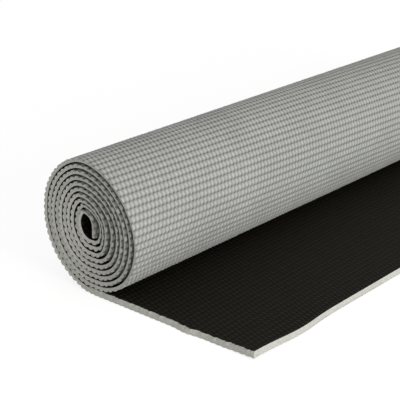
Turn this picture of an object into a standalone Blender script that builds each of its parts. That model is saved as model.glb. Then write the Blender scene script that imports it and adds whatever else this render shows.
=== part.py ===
"""A yoga mat, nearly all of it rolled up, with its loose end laid out flat in front of the roll.

The mat is a laminate of four sheets of one outline: a grey foam base, a reinforcing scrim, a grey
foam top and a thin black face coat. It is wound with the black face inwards, so the roll shows the
grey base and the loose end lies black side up. The roll lies along X, the loose end points to -Y,
and the origin is on the floor, at the middle of the part's outline seen from above.
"""
import math

import bmesh
import bpy

# The four layers of the mat, from the underside up, in metres
base_foam_thickness = 0.00110
scrim_thickness = 0.00030
top_foam_thickness = 0.00080
face_coat_thickness = 0.00040
layer_clearance = 0.00030
mat_width = 0.610

# The loose end that lies on the floor, and how far the roll's weight presses the mat down
loose_end_length = 0.1435
press_depth = 0.0005
press_run = 0.030

# The free space that is left between one turn and the next
back_clearance = 0.00047
upright_clearance = 0.00056
front_clearance = 0.00071

# The oval hole at the roll's core, how far the mat's inner end springs into it, and the room that
# this end, which runs straight on, keeps to the turn below it
core_half_width = 0.0043
core_half_height = 0.0074
inner_end_spring = 0.0031
inner_end_clearance = 0.0022

# Counts: the turns of the roll, the part of a turn that springs inwards, the points on each turn
turns = 9.75
spring_turns = 0.5
points_per_turn = 24

# Colours, as red, green and blue shares, with the roughness of each surface
grey_foam_shares = (0.38, 0.385, 0.36)
scrim_shares = (0.78, 0.78, 0.74)
black_coat_shares = (0.012, 0.012, 0.010)
foam_roughness_share = 0.85
scrim_roughness_share = 0.9
coat_roughness_share = 0.75

layer_thicknesses = (base_foam_thickness, scrim_thickness, top_foam_thickness, face_coat_thickness)
mat_thickness = sum(layer_thicknesses) + layer_clearance * (len(layer_thicknesses) - 1)
back_pitch = mat_thickness + back_clearance
upright_pitch = mat_thickness + upright_clearance
front_pitch = mat_thickness + front_clearance

step_angle = math.tau / points_per_turn
step_count = round(turns * points_per_turn)
end_angle = step_count * step_angle
spring_angle = spring_turns * math.tau


def clear_scene():
    for item in list(bpy.data.objects):
        bpy.data.objects.remove(item, do_unlink=True)


def smooth_step(share):
    """Rises from 0 to 1 with level ends."""
    share = min(max(share, 0.0), 1.0)
    return share * share * (3.0 - 2.0 * share)


def turn_pitch(angle):
    """The distance from one turn to the next: least at the back, widest at the front."""
    side = math.sin(angle)
    mean_pitch = (back_pitch + front_pitch) / 2
    lean = (back_pitch - front_pitch) / 2
    return upright_pitch + (mean_pitch - upright_pitch) * side * side + lean * side


def reach(angle):
    """How far the underside of the mat lies from the roll's centre, along its own outward normal.

    The angle is 0 where the mat leaves the floor and grows along the winding, towards the inner
    end: a quarter turn is the back, half a turn the top. Measured this way, one turn and the next
    are exactly one pitch apart, whatever the shape of the core inside them.
    """
    core = math.hypot(core_half_width * math.sin(angle), core_half_height * math.cos(angle))
    turns_left = (end_angle - angle) / math.tau
    spring = inner_end_spring * smooth_step((angle - end_angle + spring_angle) / spring_angle)
    return core + mat_thickness + turns_left * turn_pitch(angle) - spring


def reach_slope(angle):
    nudge = step_angle / 100
    return (reach(angle + nudge) - reach(angle - nudge)) / (2 * nudge)


centre_height = reach(0.0) - press_depth
foot_angle = math.acos(centre_height / reach(0.0))


def wound_station(angle):
    """A place on the winding: the underside's (y, z) and the direction from there to the inside."""
    outward = (math.sin(angle), -math.cos(angle))
    along = (math.cos(angle), math.sin(angle))
    distance = reach(angle)
    slide = reach_slope(angle)
    y = distance * outward[0] + slide * along[0]
    z = distance * outward[1] + slide * along[1] + centre_height
    return y, z, -outward[0], -outward[1]


def inner_end_station():
    """The inner end: past its last point the mat runs straight on, towards the turn it faces."""
    y, z, in_y, in_z = wound_station(end_angle)
    facing = end_angle - 3 * math.tau / 4
    room = reach(facing) - mat_thickness - reach_slope(end_angle)
    run = room - inner_end_clearance
    return y + run * math.cos(end_angle), z + run * math.sin(end_angle), in_y, in_z


def mat_stations():
    """Places along the whole mat, from the end of the loose stretch to the inner end."""
    foot_y = wound_station(0.0)[0]
    flat = [(foot_y - loose_end_length, 0.0, 0.0, 1.0), (foot_y - press_run, 0.0, 0.0, 1.0)]
    angles = sorted([foot_angle] + [index * step_angle for index in range(step_count + 1)])
    return flat + [wound_station(angle) for angle in angles] + [inner_end_station()]


def centred(stations):
    """Moves the stations along Y, so that the part's outline is centred on the origin."""
    edges = [station[0] for station in stations]
    middle = (min(edges) + max(edges)) / 2
    return [(y - middle, z, in_y, in_z) for y, z, in_y, in_z in stations]


def surface_line(stations, depth):
    """The mat's section line at a depth above its underside, kept out of the floor."""
    line = [(y + depth * in_y, z + depth * in_z) for y, z, in_y, in_z in stations]
    return [(y, max(z, 0.0)) for y, z in line]


def distance_to_segment(point, start, end):
    run = (end[0] - start[0], end[1] - start[1])
    offset = (point[0] - start[0], point[1] - start[1])
    share = (offset[0] * run[0] + offset[1] * run[1]) / (run[0] ** 2 + run[1] ** 2)
    share = min(max(share, 0.0), 1.0)
    return math.hypot(offset[0] - share * run[0], offset[1] - share * run[1])


def least_gap(stations):
    """The least distance between one turn's underside and the face of the turn outside it."""
    under = surface_line(stations, 0.0)
    face = surface_line(stations, mat_thickness)
    gaps = []
    for index in range(points_per_turn // 2, len(under) - 1):
        middle = [(a + b) / 2 for a, b in zip(under[index], under[index + 1])]
        for point in (under[index], middle):
            for other in range(index - points_per_turn // 2):
                gaps.append(distance_to_segment(point, face[other], face[other + 1]))
    return min(gaps)


def mat_length(stations):
    middle = surface_line(stations, mat_thickness / 2)
    return sum(math.dist(a, b) for a, b in zip(middle, middle[1:]))


def plain_material(name, colour_shares, roughness_share):
    material = bpy.data.materials.new(name)
    material.use_nodes = True
    shader = material.node_tree.nodes["Principled BSDF"]
    shader.inputs["Base Color"].default_value = (*colour_shares, 1.0)
    shader.inputs["Roughness"].default_value = roughness_share
    shader.inputs["Metallic"].default_value = 0.0
    return material


def wound_layer(name, stations, low, high, material):
    """One sheet of the laminate: its section as a strip of quads, extruded across the mat."""
    mesh = bpy.data.meshes.new(name)
    bm = bmesh.new()
    near_side = -mat_width / 2
    lower = [bm.verts.new((near_side, y, z)) for y, z in surface_line(stations, low)]
    upper = [bm.verts.new((near_side, y, z)) for y, z in surface_line(stations, high)]
    strip = []
    for index in range(len(stations) - 1):
        corners = (lower[index], upper[index], upper[index + 1], lower[index + 1])
        strip.append(bm.faces.new(corners))
    extruded = bmesh.ops.extrude_face_region(bm, geom=strip, use_keep_orig=True)
    moved = [item for item in extruded["geom"] if isinstance(item, bmesh.types.BMVert)]
    bmesh.ops.translate(bm, verts=moved, vec=(mat_width, 0.0, 0.0))
    bmesh.ops.recalc_face_normals(bm, faces=bm.faces)
    bm.to_mesh(mesh)
    bm.free()
    mesh.materials.append(material)
    mesh.shade_smooth()
    mesh.set_sharp_from_angle(angle=2 * step_angle)
    layer = bpy.data.objects.new(name, mesh)
    bpy.context.scene.collection.objects.link(layer)
    return layer


def build_mat():
    clear_scene()
    stations = centred(mat_stations())
    grey = plain_material("grey_foam", grey_foam_shares, foam_roughness_share)
    net = plain_material("scrim_yarn", scrim_shares, scrim_roughness_share)
    black = plain_material("black_coat", black_coat_shares, coat_roughness_share)
    names = ("foam_base", "scrim", "foam_top", "face_coat")
    low = 0.0
    for name, thickness, material in zip(names, layer_thicknesses, (grey, net, grey, black)):
        wound_layer(name, stations, low, low + thickness, material)
        low += thickness + layer_clearance
    print(f"mat thickness {mat_thickness * 1000:.2f} mm, length {mat_length(stations) * 1000:.0f} mm")
    print(f"least gap from turn to turn {least_gap(stations) * 1000:.3f} mm")


build_mat()
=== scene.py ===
"""The looks of a yoga mat that is rolled up, with its loose end laid out in front of the roll.

Each of the mat's four layers is one closed mesh, wound along nearly the same line as the CAD solid
that it stands for. The two outer faces carry the mat's embossing as real relief: rows of rounded
bumps, every second row set off by half a bump. The cut ends slope, as the knife left them.

A point of the mat is given by its distance along the mat from the loose end's front edge, its x
across the mat, and its depth above the crests of the grey underside. An angle on the winding is 0
where the mat leaves the floor, a quarter turn at the back of the roll and half a turn at its top.
"""
import math
from collections import namedtuple

import bpy
import numpy as np
from mathutils import Matrix, Vector


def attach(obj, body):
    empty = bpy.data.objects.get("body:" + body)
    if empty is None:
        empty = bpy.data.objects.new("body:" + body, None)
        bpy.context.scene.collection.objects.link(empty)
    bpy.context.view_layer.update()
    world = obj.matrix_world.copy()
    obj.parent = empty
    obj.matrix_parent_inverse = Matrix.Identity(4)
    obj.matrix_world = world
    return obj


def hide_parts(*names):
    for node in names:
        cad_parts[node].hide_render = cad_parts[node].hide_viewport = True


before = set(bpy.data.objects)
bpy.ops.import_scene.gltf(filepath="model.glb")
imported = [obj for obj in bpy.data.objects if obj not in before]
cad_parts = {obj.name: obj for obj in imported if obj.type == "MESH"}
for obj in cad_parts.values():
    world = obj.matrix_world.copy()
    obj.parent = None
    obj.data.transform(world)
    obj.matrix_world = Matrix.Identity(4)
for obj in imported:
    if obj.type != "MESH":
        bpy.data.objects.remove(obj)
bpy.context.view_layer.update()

# The camera, in metres, degrees and millimetres, found by fitting the photograph's outlines
camera_place = (-0.80374, -0.49311, 0.35429)
camera_pitch, camera_yaw, camera_roll = 21.27, -48.49, -0.29
camera_lens, camera_sensor = 104.77, 36.0
camera_nearest, camera_farthest = 0.01, 50.0

# The mat, in metres. These repeat the values of the part's source, apart from the spring of the
# inner end, which is less here.
mat_width = 0.610
loose_end_length = 0.1435
press_depth = 0.0005
cad_thickness = 0.0035
back_clearance = 0.00047
upright_clearance = 0.00056
front_clearance = 0.00071
core_half_width = 0.0043
core_half_height = 0.0074
inner_end_spring = 0.0017
inner_end_clearance = 0.0022
turns = 9.75
spring_turns = 0.5
facing_turns = 0.75

# How the turns lie against that regular winding. Each is pressed a little further towards the
# back than the one outside it, leans in at the front, has sunk in at the front of its top and
# swells out at the front of its foot, and rests on the turns below it near the foot. The middle
# of the sunk stretch moves towards the top over the first few turns.
back_press = 0.000225
front_leans = (0.0012, 0.0017, 0.0017, 0.0009, 0.0005, 0.0010, 0.0020, 0.0012, 0.00035, 0.0)
top_sag, top_sag_angle, top_sag_width = 0.0036, math.radians(222), math.radians(60)
top_shift_angle, top_shift_turns = math.radians(14), 3
foot_swell, foot_swell_angle, foot_swell_width = 0.0024, math.radians(312), math.radians(64)
sag_turns = (0.0, 0.15, 0.45, 8.0, 9.0, 9.5)
sag_shares = (0.0, 0.0, 1.0, 1.0, 0.8, 0.45)
resting_radians = 1.0

# How far the mat sits out of the near end of the roll: at the loose end's front edge, at some
# places close to the foot, counted in turns from it, and then once every half turn
front_edge_slide = 0.0006
foot_slide_turns = (0.0, 0.06, 0.12, 0.2, 0.3, 0.42, 0.55)
foot_slides = (0.0020, 0.0004, -0.0002, 0.0003, 0.0003, 0.0002, 0.0002)
first_slide_turn, slide_turn_step = 0.75, 0.5
turn_slides = (
    -0.0003, 0.0002, -0.0002, 0.0003, 0.0, -0.0001, 0.0001, -0.0001, 0.0, -0.0001,
    -0.0001, -0.0002, 0.0001, -0.0003, -0.0007, -0.0015, -0.0020, -0.0006, -0.0010,
)

# The layers, as depths of the lower and the upper face of each
foam_base_depths = (0.0, 0.00144)
scrim_depths = (0.00146, 0.00172)
foam_top_depths = (0.00174, 0.00316)
face_coat_depths = (0.00318, 0.00375)
mat_thickness = face_coat_depths[1]

# The shares of that thickness that the mat has on the floor, in the roll and at the inner end,
# and where it changes from one to the next
flat_share, wound_share, inner_end_share = 1.11, 0.945, 0.82
lift_off_lead, lift_off_run = 0.010, 0.030
thin_from_turn, square_from_turn, inner_end_run = 9.15, 9.4, 0.030

# The embossing, in metres, and in shares of the pitch: of half of it for the size of a bump. A
# fullness over 1 flattens the bumps, a valley share is how high the grooves stand between their
# pits, from the pits to the bumps, and the notch power keeps the notches to the side cuts.
row_pitch = 0.00479
column_pitch = 0.00376
row_drift_share, drift_fade = 0.0225, 0.060
row_stagger_share = 0.5
grey_relief, black_relief = 0.00130, 0.00056
flat_relief_share = 0.35
bump_row_share, bump_column_share, bump_fullness_share = 0.96, 0.88, 1.15
bump_uneven_share = 0.10
pit_offset_share, pit_width_share, pit_power = 0.15, 0.27, 4.0
edge_notch_share, edge_notch_power = 1.0, 300
grey_valley_share, black_valley_share = 0.36, 0.0
grey_phase_share, black_phase_share = 0.25, 0.0

# The cuts, which slope from the black face out to the grey one: at the sides of the roll by a
# width that changes around each turn, more on the loose end, also in front, and less at the inner
# end
least_slope, most_slope, least_slope_angle = 0.0010, 0.0016, math.radians(120)
loose_slope = 0.0022
inner_square_share = 0.75

# How far the side cuts wander, swell out at one place and are torn on the loose end. The powers
# keep this to the very sides of the mat.
slow_wave, quick_wave, wave_power = 0.00018, 0.00007, 40
slow_wave_count, quick_wave_count, drawn_wave_count = 60, 330, 400
side_swell, side_swell_along, side_swell_length = 0.0014, 0.056, 0.008
scallop, nibble, torn_power = 0.0008, 0.0019, 100
nibble_count = 2400

# How far the front edge reaches out, swells out at one place, and lifts at its near corner
front_reach, front_run = 0.0008, 0.020
front_swell, front_swell_x, front_swell_width = 0.0020, -0.257, 0.021
corner_lift, corner_length, corner_x, corner_width = 0.0009, 0.030, -0.27, 0.035

# The detail of the line along the mat and of the meshes. Stations are shares of one row and of
# one column, and the side cuts keep their fine columns all along the mat.
table_step = math.radians(2.0)
flat_stations, straight_stations = 60, 12
foot_gap, slope_nudge = 0.002, 0.0001
row_shares = (0.0, 0.13, 0.3, 0.5, 0.7, 0.87)
column_shares = (0.0, 0.2, 0.4, 0.6, 0.8)
end_columns = 6
grey_detail_radians = math.tau + 0.9
black_detail_past_foot = 0.030
plain_detail_until = 0.060
random_seed = 7
spare_bumps = 8

# The fine texture that the foams share
grain_detail, grain_roughness_share, grain_depth = 3.0, 0.6, 0.0002
cloud_scale, cloud_detail, cloud_share = 28.0, 2.0, 0.04
noise_low_share, noise_high_share = 0.3, 0.7
roughness_spread_share = 0.08

# The light, in metres and watts. The floor and the world show white to the camera, and light the
# mat less than that.
world_strength, seen_world_strength = 0.435, 1.0
floor_half_side, floor_drop = 4.0, 0.0002
floor_share, seen_floor_share, seen_floor_glow = 0.8, 0.42, 0.80
key_place, key_aim, key_power, key_size = (-0.33, -2.13, 0.42), (0.0, 0.0, 0.05), 30.0, 1.2

back_pitch = cad_thickness + back_clearance
upright_pitch = cad_thickness + upright_clearance
front_pitch = cad_thickness + front_clearance
end_angle = turns * math.tau
spring_angle = spring_turns * math.tau
half_width = mat_width / 2


def smooth_step(share):
    """Rises from 0 to 1 with level ends."""
    share = np.clip(share, 0.0, 1.0)
    return share * share * (3.0 - 2.0 * share)


def swelling(place, middle, width):
    """Rises from 0 to 1 and falls back around the middle, as a bell does."""
    return np.exp(-((place - middle) / width) ** 2)


def turn_pitch(angle):
    """The distance from one turn to the next: least at the back, widest at the front."""
    side = np.sin(angle)
    mean_pitch = (back_pitch + front_pitch) / 2
    lean = (back_pitch - front_pitch) / 2
    return upright_pitch + (mean_pitch - upright_pitch) * side * side + lean * side


def front_lean(angle):
    """How far the front of each turn leans in towards the core."""
    turn = np.clip(np.floor(angle / math.tau), 0, len(front_leans) - 1).astype(int)
    return np.array(front_leans)[turn] * np.clip(-np.sin(angle), 0.0, 1.0) ** 2


def hump(angle, middle, half_angle):
    """Rises from 0 to 1 and falls back once in every turn, around the middle angle."""
    off = np.abs((angle - middle + math.pi) % math.tau - math.pi) / half_angle
    return np.where(off < 1, np.cos(off * math.pi / 2) ** 2, 0.0)


def sag(angle):
    """How far the turns sink: in at the top of the front, and out at the bottom of the front."""
    turn = angle / math.tau
    top_middle = top_sag_angle - top_shift_angle * np.clip(turn / top_shift_turns, 0, 1)
    held = np.interp(turn, sag_turns, sag_shares)
    sunk = top_sag * hump(angle, top_middle, top_sag_width)
    return held * (foot_swell * hump(angle, foot_swell_angle, foot_swell_width) - sunk)


def reach(angle):
    """The underside's distance from the roll's centre along its own outward normal."""
    core = np.hypot(core_half_width * np.sin(angle), core_half_height * np.cos(angle))
    turns_left = (end_angle - angle) / math.tau
    spring = inner_end_spring * smooth_step((angle - end_angle + spring_angle) / spring_angle)
    pressed = back_press * angle / math.tau * np.sin(angle)
    regular = core + cad_thickness + turns_left * turn_pitch(angle) - spring
    return regular - front_lean(angle) + pressed + sag(angle)


def wound_line(angle):
    """The underside's y and z on the winding, and the direction from there to the inside."""
    slope = (reach(angle + slope_nudge) - reach(angle - slope_nudge)) / (2 * slope_nudge)
    out_y, out_z = np.sin(angle), -np.cos(angle)
    distance = reach(angle)
    centre_height = reach(np.zeros(1))[0] - press_depth
    y = distance * out_y - slope * out_z
    z = distance * out_z + slope * out_y + centre_height

    # Near the foot, each turn rests on the turns below it
    below = np.round(angle / math.tau)
    resting = (np.abs(angle - below * math.tau) < resting_radians) & (below > 0)
    z = np.where(resting, np.maximum(z, below * upright_pitch - press_depth), z)
    return y, z, -out_y, -out_z


def straight_end(start):
    """The inner end, which runs straight on from the winding towards the turn that it faces."""
    y, z, in_y, in_z = start
    facing = np.array([end_angle - facing_turns * math.tau])
    before_end = reach(np.array([end_angle - slope_nudge]))
    slope = (reach(np.array([end_angle])) - before_end)[0] / slope_nudge
    run = reach(facing)[0] - cad_thickness - slope - inner_end_clearance
    steps = np.linspace(0.0, run, straight_stations)[1:]
    level = np.zeros_like(steps)
    return np.stack([y + steps * in_z, z - steps * in_y, in_y + level, in_z + level])


def mat_table():
    """The whole underside line, by distance along the mat's middle, and where its turns are."""
    foot_y = wound_line(np.zeros(1))[0][0]
    flat_y = np.linspace(foot_y - loose_end_length, foot_y - foot_gap, flat_stations)
    level = np.zeros_like(flat_y)
    flat = np.stack([flat_y, level, level, level + 1])
    angles = np.arange(0.0, end_angle, table_step)
    wound = np.stack(wound_line(np.append(angles, end_angle)))
    line = np.concatenate([flat, wound, straight_end(wound[:, -1])], axis=1)

    # The outline is centred on the origin, and nothing sinks into the floor
    line[0] -= (flat_y[0] + line[0].max()) / 2
    line[1] = np.maximum(line[1], 0.0)
    middle = line[:2] + line[2:] * mat_thickness / 2
    along = np.append(0.0, np.cumsum(np.hypot(*np.diff(middle))))
    wound_along = along[flat_stations:flat_stations + len(angles)]
    return along, line, wound_along, angles / math.tau


def stations(count, shares, length):
    """Places on a length that holds so many equal steps, at the given shares of each step."""
    places = (np.arange(count)[:, None] + np.array(shares)).ravel()
    return np.append(places, count) * length / count


mat_along, mat_line, turn_along, turn_numbers = mat_table()
mat_length = mat_along[-1]


def turn_place(turn):
    """The distance along the mat at which so many turns have been wound."""
    return np.interp(turn, turn_numbers, turn_along)


half_turns = first_slide_turn + slide_turn_step * np.arange(len(turn_slides))
slide_along = np.append(0.0, turn_place(np.append(foot_slide_turns, half_turns)))
slides = (front_edge_slide, *foot_slides, *turn_slides)
thin_from = turn_place(thin_from_turn)
square_from = turn_place(square_from_turn)

row_count = round(mat_length / row_pitch)
column_count = round(mat_width / column_pitch)
rows_along = stations(row_count, row_shares, mat_length)
all_columns = stations(column_count, column_shares, mat_width) - half_width
end_count = end_columns * len(column_shares) + 1
columns = {
    "all": all_columns,
    "ends": np.concatenate([all_columns[:end_count], all_columns[-end_count:]]),
    "spread": all_columns[::len(column_shares)],
    "none": all_columns[[0, -1]],
}

rng = np.random.default_rng(random_seed)
unevenness = np.abs(rng.standard_normal((row_count + spare_bumps, column_count + spare_bumps)))
bump_heights = 1.0 - bump_uneven_share * unevenness
edge_waves = rng.standard_normal((2, drawn_wave_count))
nibbles = rng.random(nibble_count) ** 2

# How a face is moulded. The relief is how far its pits lie above its crests, so it is negative on
# an upper face, and the kept share is what the loose end keeps of it.
Embossing = namedtuple("Embossing", "relief kept_share phase_share valley_share detail_until")
grey_embossing = Embossing(
    relief=grey_relief,
    kept_share=flat_relief_share,
    phase_share=grey_phase_share,
    valley_share=grey_valley_share,
    detail_until=turn_place(grey_detail_radians / math.tau),
)
black_embossing = Embossing(
    relief=-black_relief,
    kept_share=1.0,
    phase_share=black_phase_share,
    valley_share=black_valley_share,
    detail_until=loose_end_length + black_detail_past_foot,
)
plain_face = Embossing(
    relief=0.0, kept_share=1.0, phase_share=0.0, valley_share=0.0, detail_until=plain_detail_until)


def bump_level(along, x, embossing):
    """How high the face stands, from 0 in the deepest pits to 1 on a bump."""
    row = (along - row_drift_share * x) * row_count / mat_length
    number = np.floor(row).astype(int)
    from_row = np.abs(2 * (row - number) - 1)
    stagger = row_stagger_share * (number % 2)
    across = (x + half_width) / column_pitch + stagger + embossing.phase_share
    column = np.round(across).astype(int)
    from_column = np.abs(2 * (across - column))
    height = bump_heights[number % bump_heights.shape[0], column % bump_heights.shape[1]]
    off_centre = (from_row / bump_row_share) ** 2 + (from_column / bump_column_share) ** 2
    bump = height * np.clip(bump_fullness_share * (1 - off_centre), 0.0, 1.0)
    low = embossing.valley_share * (1 - pit_depth(row, x, embossing) * from_row ** pit_power)
    return low + (1 - low) * bump


def pit_depth(row, x, embossing):
    """How far the nearest groove goes down into a pit, from 0 to 1: all of it at a side cut."""
    groove = np.round(row).astype(int)
    offset = row_stagger_share * (groove % 2) + embossing.phase_share + pit_offset_share
    from_pit = (x + half_width) / column_pitch + offset
    pit = swelling(from_pit, np.round(from_pit), pit_width_share)
    edge = (np.abs(x) / half_width) ** edge_notch_power
    return pit + (edge_notch_share - pit) * edge


def drift(along, x):
    """How far the rows stray along the mat, apart from its two ends."""
    fade = smooth_step(along / drift_fade) * smooth_step((mat_length - along) / drift_fade)
    return row_drift_share * x * fade


def end_shift(along, side):
    """How far a side cut strays from a straight line: the near one for 0, the far one for 1."""
    slow_along = np.linspace(0, mat_length, slow_wave_count)
    quick_along = np.linspace(0, mat_length, quick_wave_count)
    slow = np.interp(along, slow_along, edge_waves[side][:slow_wave_count])
    quick_end = slow_wave_count + quick_wave_count
    quick = np.interp(along, quick_along, edge_waves[side][slow_wave_count:quick_end])
    swell = side_swell * swelling(along, side_swell_along, side_swell_length) if side == 0 else 0.0
    return slow_wave * slow + quick_wave * quick + swell


def torn(along):
    """How far the black edge falls back at the sides of the loose end, where the cut is ragged."""
    scallops = 1 - np.abs(np.sin(math.pi * along / (2 * row_pitch)))
    bites = np.interp(along, np.linspace(0, mat_length, nibble_count), nibbles)
    return scallop * scallops + nibble * bites


def wound_part(along):
    """From 0 on the loose end to 1 on the roll."""
    return smooth_step((along - loose_end_length + lift_off_lead) / lift_off_run)


def thickness_share(along):
    """How thick the mat is, as a share of its full thickness."""
    share = flat_share + (wound_share - flat_share) * wound_part(along)
    thinned = smooth_step((along - thin_from) / inner_end_run)
    return share + (inner_end_share - wound_share) * thinned


def cut_slope(along):
    """How far the side cut comes out from the black face to the grey one."""
    around = np.interp(along, turn_along, np.cos(turn_numbers * math.tau - least_slope_angle))
    wound_slope = (least_slope + most_slope) / 2 + (least_slope - most_slope) / 2 * around
    slope = loose_slope + (wound_slope - loose_slope) * wound_part(along)
    return slope * (1 - inner_square_share * smooth_step((along - square_from) / inner_end_run))


def corner_rise(along, x):
    """How far the near corner of the loose end lifts off the floor."""
    near_front = smooth_step(1 - along / corner_length)
    return corner_lift * near_front * smooth_step((corner_x - x) / corner_width)


def underside_place(along, depth):
    """Points (y, z) at distances along the mat and depths above its underside."""
    y, z, in_y, in_z = (np.interp(along, mat_along, part) for part in mat_line)
    size = np.hypot(in_y, in_z)
    return y + depth * in_y / size, z + depth * in_z / size


def mat_point(along, x, depth):
    """Where a point of the flat mat lies in the rolled one."""
    share = depth / mat_thickness
    side_share = np.abs(x) / half_width
    y, z = underside_place(along, depth * thickness_share(along))
    shift = np.where(x < 0, end_shift(along, 0), end_shift(along, 1)) * side_share ** wave_power
    across = x * (1 - cut_slope(along) * share / half_width) + shift * np.sign(x)
    across = across - np.interp(along, slide_along, slides)
    ragged = share ** 2 * (1 - wound_part(along)) * torn(along)
    across = across - np.sign(x) * ragged * side_share ** torn_power
    front_part = (1 - along / front_run).clip(0, 1)
    out = front_reach + front_swell * swelling(x, front_swell_x, front_swell_width)
    y = y + (loose_slope * share - out) * front_part
    return np.stack([across, y, z + corner_rise(along, x)], axis=-1)


class Shell:
    """Collects the vertices and faces of one closed layer. Group 1 holds the cut faces."""

    def __init__(self):
        self.points, self.levels = [], []
        self.faces = {3: [], 4: []}
        self.groups = {3: [], 4: []}
        self.count = 0

    def face_grid(self, depth, embossing):
        """Adds the points of one face, in blocks of equal detail, each given as numbers and x."""
        last = len(rows_along) - 1
        fine = int(np.searchsorted(rows_along, embossing.detail_until))
        spans = [(1, fine, "spread"), (fine, last, "none")]
        if embossing.relief:
            spans = [(1, fine, "all"), (fine, last, "ends")]
        blocks = []
        for first, end, detail in [(0, 1, "all"), *spans, (last, last + 1, "all")]:
            rows = rows_along[first:end, None]
            x = np.broadcast_to(columns[detail], (end - first, len(columns[detail])))
            along = np.clip(rows + drift(rows, x), 0, mat_length)
            level = bump_level(along, x, embossing) if embossing.relief else np.ones(x.shape)
            kept = embossing.kept_share + (1 - embossing.kept_share) * wound_part(along)
            height = embossing.relief * (1 - level) * kept
            self.points.append(mat_point(along, x, depth + height).reshape(-1, 3))
            self.levels.append(level.ravel())
            blocks.append((self.count + np.arange(x.size).reshape(x.shape), x))
            self.count += x.size
        return blocks

    def add(self, faces, group, flip):
        """Adds faces of one size, turned over where they would face inwards."""
        faces = np.asarray(faces)
        self.faces[faces.shape[1]].append(faces[:, ::-1] if flip else faces)
        self.groups[faces.shape[1]].append(np.full(len(faces), group))

    def cover(self, blocks, flip):
        """The faces of one face grid: quads in each block, and a seam from block to block."""
        for numbers, x in blocks:
            a, b = numbers[:-1, :-1], numbers[:-1, 1:]
            c, d = numbers[1:, 1:], numbers[1:, :-1]
            self.add(np.stack([a, b, c, d], axis=-1).reshape(-1, 4), 0, flip)
        for (one, x_one), (two, x_two) in zip(blocks, blocks[1:]):
            if one.shape[1] == two.shape[1]:
                self.edge(one[-1], two[0], flip, group=0)
            else:
                self.seam(one[-1], two[0], x_one[-1], x_two[0], flip)

    def seam(self, first, second, x_first, x_second, flip):
        """Triangles between two rows with different numbers of vertices."""
        i = j = 0
        made = []
        while i < len(first) - 1 or j < len(second) - 1:
            second_done = j == len(second) - 1
            if second_done or (i < len(first) - 1 and x_first[i + 1] <= x_second[j + 1]):
                made.append((first[i], first[i + 1], second[j]))
                i += 1
            else:
                made.append((first[i], second[j + 1], second[j]))
                j += 1
        self.add(made, 0, flip)

    def edge(self, first, second, flip, group=1):
        """Quads between two rows with the same number of vertices."""
        self.add(np.stack([first[:-1], first[1:], second[1:], second[:-1]], axis=1), group, flip)

    def mesh(self, name):
        """The closed mesh, with its groups as material slots."""
        made = bpy.data.meshes.new(name)
        points = np.concatenate(self.points)
        corners, starts, groups = [], [], []
        total = 0
        for size in (3, 4):
            if self.faces[size]:
                faces = np.concatenate(self.faces[size])
                corners.append(faces.ravel())
                starts.append(total + size * np.arange(len(faces)))
                groups.append(np.concatenate(self.groups[size]))
                total += faces.size
        groups = np.concatenate(groups).astype(np.int32)
        made.vertices.add(len(points))
        made.vertices.foreach_set("co", points.astype(np.float32).ravel())
        made.loops.add(total)
        made.loops.foreach_set("vertex_index", np.concatenate(corners).astype(np.int32))
        made.polygons.add(len(groups))
        made.polygons.foreach_set("loop_start", np.concatenate(starts).astype(np.int32))
        made.polygons.foreach_set("material_index", groups)
        made.update(calc_edges=True)
        made.shade_smooth()
        mark_sharp(made, groups)
        level = made.attributes.new("bump_level", "FLOAT", "POINT")
        level.data.foreach_set("value", np.concatenate(self.levels).astype(np.float32))
        return made


def mark_sharp(mesh, groups):
    """Sharp edges where a cut face meets a moulded face."""
    edge_of = np.empty(len(mesh.loops), np.int32)
    mesh.loops.foreach_get("edge_index", edge_of)
    sizes = np.empty(len(mesh.polygons), np.int32)
    mesh.polygons.foreach_get("loop_total", sizes)
    group_of = np.repeat(groups, sizes)
    least = np.full(len(mesh.edges), groups.max())
    most = np.full(len(mesh.edges), groups.min())
    np.minimum.at(least, edge_of, group_of)
    np.maximum.at(most, edge_of, group_of)
    mesh.edges.foreach_set("use_edge_sharp", least != most)


def layer(name, depths, body_material, cut_material, lower=plain_face, upper=plain_face):
    """One closed layer, from its lower face to its upper one."""
    shell = Shell()
    bottom = shell.face_grid(depths[0], lower)
    top = shell.face_grid(depths[1], upper)
    shell.cover(bottom, True)
    shell.cover(top, False)
    shell.edge(bottom[0][0][0], top[0][0][0], False)
    shell.edge(bottom[-1][0][-1], top[-1][0][-1], True)
    for side, flip in ((0, True), (-1, False)):
        low = np.concatenate([numbers[:, side] for numbers, x in bottom])
        high = np.concatenate([numbers[:, side] for numbers, x in top])
        shell.edge(low, high, flip)
    mesh = shell.mesh(name)
    mesh.materials.append(body_material)
    mesh.materials.append(cut_material)
    piece = bpy.data.objects.new(name, mesh)
    bpy.context.scene.collection.objects.link(piece)
    return piece


def node(tree, kind, **settings):
    """A new shader node, with the settings given to its sockets or else to the node itself."""
    made = tree.nodes.new(kind)
    for key, value in settings.items():
        if key in made.inputs:
            made.inputs[key].default_value = value
        else:
            setattr(made, key, value)
    return made


def spread_noise(tree, noise, lowest, highest, middle, spread_share):
    """Spreads the noise between its lowest and highest value evenly about the middle."""
    made = node(tree, "ShaderNodeMapRange")
    made.inputs["From Min"].default_value = lowest
    made.inputs["From Max"].default_value = highest
    made.inputs["To Min"].default_value = middle - spread_share
    made.inputs["To Max"].default_value = middle + spread_share
    tree.links.new(noise.outputs["Fac"], made.inputs["Value"])
    return made.outputs["Result"]


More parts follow.
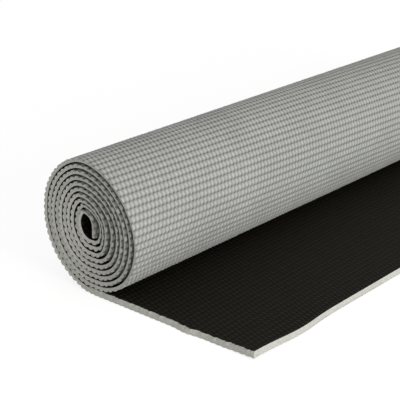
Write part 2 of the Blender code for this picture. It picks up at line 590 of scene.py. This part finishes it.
def foam_material(name, pit_shade_shares, groove_shade_shares, crest_shares, roughness_share, specular_share,
                  grain_scale, grain_share, mottle_share):
    """Foam whose colour goes from a painted shade in the pits, over a lighter painted shade in the
    grooves, to the crests, with a fine grain.
    """
    material = bpy.data.materials.new(name)
    material.use_nodes = True
    tree = material.node_tree
    link = tree.links.new
    shader = tree.nodes["Principled BSDF"]
    shader.inputs["Specular IOR Level"].default_value = specular_share

    coords = node(tree, "ShaderNodeTexCoord")
    grain = node(tree, "ShaderNodeTexNoise", Scale=grain_scale, Detail=grain_detail,
                 Roughness=grain_roughness_share)
    clouds = node(tree, "ShaderNodeTexNoise", Scale=cloud_scale, Detail=cloud_detail)
    for texture in (grain, clouds):
        link(coords.outputs["Object"], texture.inputs["Vector"])

    level = node(tree, "ShaderNodeAttribute", attribute_name="bump_level")
    # The ramp paints shade by the bump level: darkest in the pits, darker in the grooves, and the
    # foam's own colour on the crests
    ramp = node(tree, "ShaderNodeValToRGB")
    ramp.color_ramp.elements[0].color = (*pit_shade_shares, 1)
    ramp.color_ramp.elements[1].color = (*crest_shares, 1)
    ramp.color_ramp.elements.new(grey_valley_share).color = (*groove_shade_shares, 1)
    link(level.outputs["Fac"], ramp.inputs["Fac"])

    brightness = node(tree, "ShaderNodeMath", operation="MULTIPLY")
    tint = node(tree, "ShaderNodeHueSaturation")
    noise_range = (noise_low_share, noise_high_share)
    link(spread_noise(tree, grain, *noise_range, 1.0, mottle_share), brightness.inputs[0])
    link(spread_noise(tree, clouds, *noise_range, 1.0, cloud_share), brightness.inputs[1])
    link(brightness.outputs["Value"], tint.inputs["Value"])
    link(ramp.outputs["Color"], tint.inputs["Color"])
    link(tint.outputs["Color"], shader.inputs["Base Color"])

    roughness = spread_noise(tree, grain, 0.0, 1.0, roughness_share, roughness_spread_share)
    link(roughness, shader.inputs["Roughness"])
    bump = node(tree, "ShaderNodeBump", Strength=grain_share, Distance=grain_depth)
    link(grain.outputs["Fac"], bump.inputs["Height"])
    link(bump.outputs["Normal"], shader.inputs["Normal"])
    return material


def grey_face_material():
    return foam_material(
        "grey_foam",
        # Painted shade: the pit and groove colours darken the grey face where the embossing's shade
        # falls; the crest colour is the foam's own
        pit_shade_shares=(0.06, 0.061, 0.056),
        groove_shade_shares=(0.365, 0.368, 0.346),
        crest_shares=(0.615, 0.62, 0.587),
        roughness_share=0.8,
        specular_share=0.25,
        grain_scale=900.0,
        grain_share=0.5,
        mottle_share=0.10,
    )


def grey_cut_material():
    return foam_material(
        "grey_foam_cut",
        # Painted shade: the cut faces grow darker where the bump level is low, at the grooves and the
        # notches of the side cuts
        pit_shade_shares=(0.46, 0.46, 0.42),
        groove_shade_shares=(0.56, 0.56, 0.51),
        crest_shares=(0.67, 0.67, 0.611),
        roughness_share=0.9,
        specular_share=0.2,
        grain_scale=800.0,
        grain_share=1.0,
        mottle_share=0.16,
    )


def yarn_material():
    return foam_material(
        "scrim_yarn",
        pit_shade_shares=(0.55, 0.55, 0.5),
        groove_shade_shares=(0.62, 0.62, 0.57),
        crest_shares=(0.72, 0.72, 0.66),
        roughness_share=0.9,
        specular_share=0.2,
        grain_scale=1200.0,
        grain_share=0.5,
        mottle_share=0.16,
    )


def black_face_material():
    return foam_material(
        "black_coat",
        # Painted shade: the black coat is darker in its pits and grooves than on its crests, where the
        # relief's shade falls
        pit_shade_shares=(0.0012, 0.0010, 0.0006),
        groove_shade_shares=(0.0070, 0.0060, 0.0030),
        crest_shares=(0.0210, 0.0180, 0.0112),
        roughness_share=0.7,
        specular_share=0.10,
        grain_scale=1500.0,
        grain_share=0.5,
        mottle_share=0.14,
    )


def add_mat():
    """The four layers, each in the place of its CAD node."""
    grey_face, grey_cut = grey_face_material(), grey_cut_material()
    yarn, black_face = yarn_material(), black_face_material()
    foam_base = layer("foam_base_face", foam_base_depths, grey_face, grey_cut, lower=grey_embossing)
    scrim = layer("scrim_net", scrim_depths, yarn, grey_cut)
    foam_top = layer("foam_top_layer", foam_top_depths, grey_cut, grey_cut)
    face_coat = layer(
        "face_coat_skin", face_coat_depths, black_face, black_face, upper=black_embossing)

    for piece, node_name, slot in (
        (foam_base, "foam_base", "grey_foam"),
        (scrim, "scrim", "scrim_yarn"),
        (foam_top, "foam_top", "grey_foam"),
        (face_coat, "face_coat", "black_coat"),
    ):
        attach(piece, "root")
        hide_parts(node_name)


def grey(share):
    """The colour of an even grey."""
    return share, share, share, 1.0


def seen_share(tree):
    """1 for rays from the camera, and for those it sees in a reflection or through something."""
    path = node(tree, "ShaderNodeLightPath")
    total = path.outputs["Is Camera Ray"]
    for name in ("Is Glossy Ray", "Is Transmission Ray"):
        both = node(tree, "ShaderNodeMath", operation="MAXIMUM")
        tree.links.new(total, both.inputs[0])
        tree.links.new(path.outputs[name], both.inputs[1])
        total = both.outputs["Value"]
    return total


def mix_by_sight(tree, unseen, seen, output_name):
    """Shows the camera one shader and lets the other one light the mat."""
    mix = node(tree, "ShaderNodeMixShader")
    tree.links.new(seen_share(tree), mix.inputs[0])
    tree.links.new(unseen.outputs[0], mix.inputs[1])
    tree.links.new(seen.outputs[0], mix.inputs[2])
    tree.links.new(mix.outputs[0], tree.nodes[output_name].inputs["Surface"])


def floor_material():
    material = bpy.data.materials.new("floor")
    material.use_nodes = True
    tree = material.node_tree
    tree.nodes.remove(tree.nodes["Principled BSDF"])
    unseen = node(tree, "ShaderNodeBsdfDiffuse", Color=grey(floor_share))
    shaded = node(tree, "ShaderNodeBsdfDiffuse", Color=grey(seen_floor_share))
    glow = node(tree, "ShaderNodeEmission", Color=grey(1.0), Strength=seen_floor_glow)
    seen = node(tree, "ShaderNodeAddShader")
    tree.links.new(shaded.outputs[0], seen.inputs[0])
    tree.links.new(glow.outputs[0], seen.inputs[1])
    mix_by_sight(tree, unseen, seen, "Material Output")
    return material


def add_floor():
    mesh = bpy.data.meshes.new("floor")
    signs = ((-1, -1), (1, -1), (1, 1), (-1, 1))
    corners = [(x * floor_half_side, y * floor_half_side, 0.0) for x, y in signs]
    mesh.from_pydata(corners, [], [tuple(range(len(corners)))])
    mesh.materials.append(floor_material())
    floor = bpy.data.objects.new("floor", mesh)
    bpy.context.scene.collection.objects.link(floor)
    floor.location.z = -floor_drop


def add_world():
    world = bpy.data.worlds.new("studio")
    bpy.context.scene.world = world
    world.use_nodes = True
    tree = world.node_tree
    unseen = tree.nodes["Background"]
    unseen.inputs["Color"].default_value = grey(1.0)
    unseen.inputs["Strength"].default_value = world_strength
    seen = node(tree, "ShaderNodeBackground", Color=grey(1.0), Strength=seen_world_strength)
    mix_by_sight(tree, unseen, seen, "World Output")


def add_key_lamp():
    data = bpy.data.lights.new("key", "AREA")
    data.energy = key_power
    data.shape = "SQUARE"
    data.size = key_size
    lamp = bpy.data.objects.new("key", data)
    bpy.context.scene.collection.objects.link(lamp)
    lamp.location = key_place
    lamp.rotation_euler = (Vector(key_aim) - Vector(key_place)).to_track_quat("-Z", "Y").to_euler()


def add_camera():
    pitch, yaw, roll = np.radians((camera_pitch, camera_yaw, camera_roll)).tolist()
    back = Vector((math.sin(yaw) * math.cos(pitch), -math.cos(yaw) * math.cos(pitch), math.sin(pitch)))
    right = Vector((math.cos(yaw), math.sin(yaw), 0.0))
    up = back.cross(right)
    turned_right = math.cos(roll) * right + math.sin(roll) * up
    turned_up = -math.sin(roll) * right + math.cos(roll) * up
    turned = Matrix((turned_right, turned_up, back)).transposed().to_4x4()
    data = bpy.data.cameras.new("camera")
    data.lens, data.sensor_width = camera_lens, camera_sensor
    data.clip_start, data.clip_end = camera_nearest, camera_farthest
    camera = bpy.data.objects.new("camera", data)
    bpy.context.scene.collection.objects.link(camera)
    camera.matrix_world = Matrix.Translation(camera_place) @ turned
    bpy.context.scene.camera = camera


add_mat()
add_floor()
add_world()
add_key_lamp()
add_camera()
bpy.context.scene.view_settings.view_transform = "Standard"
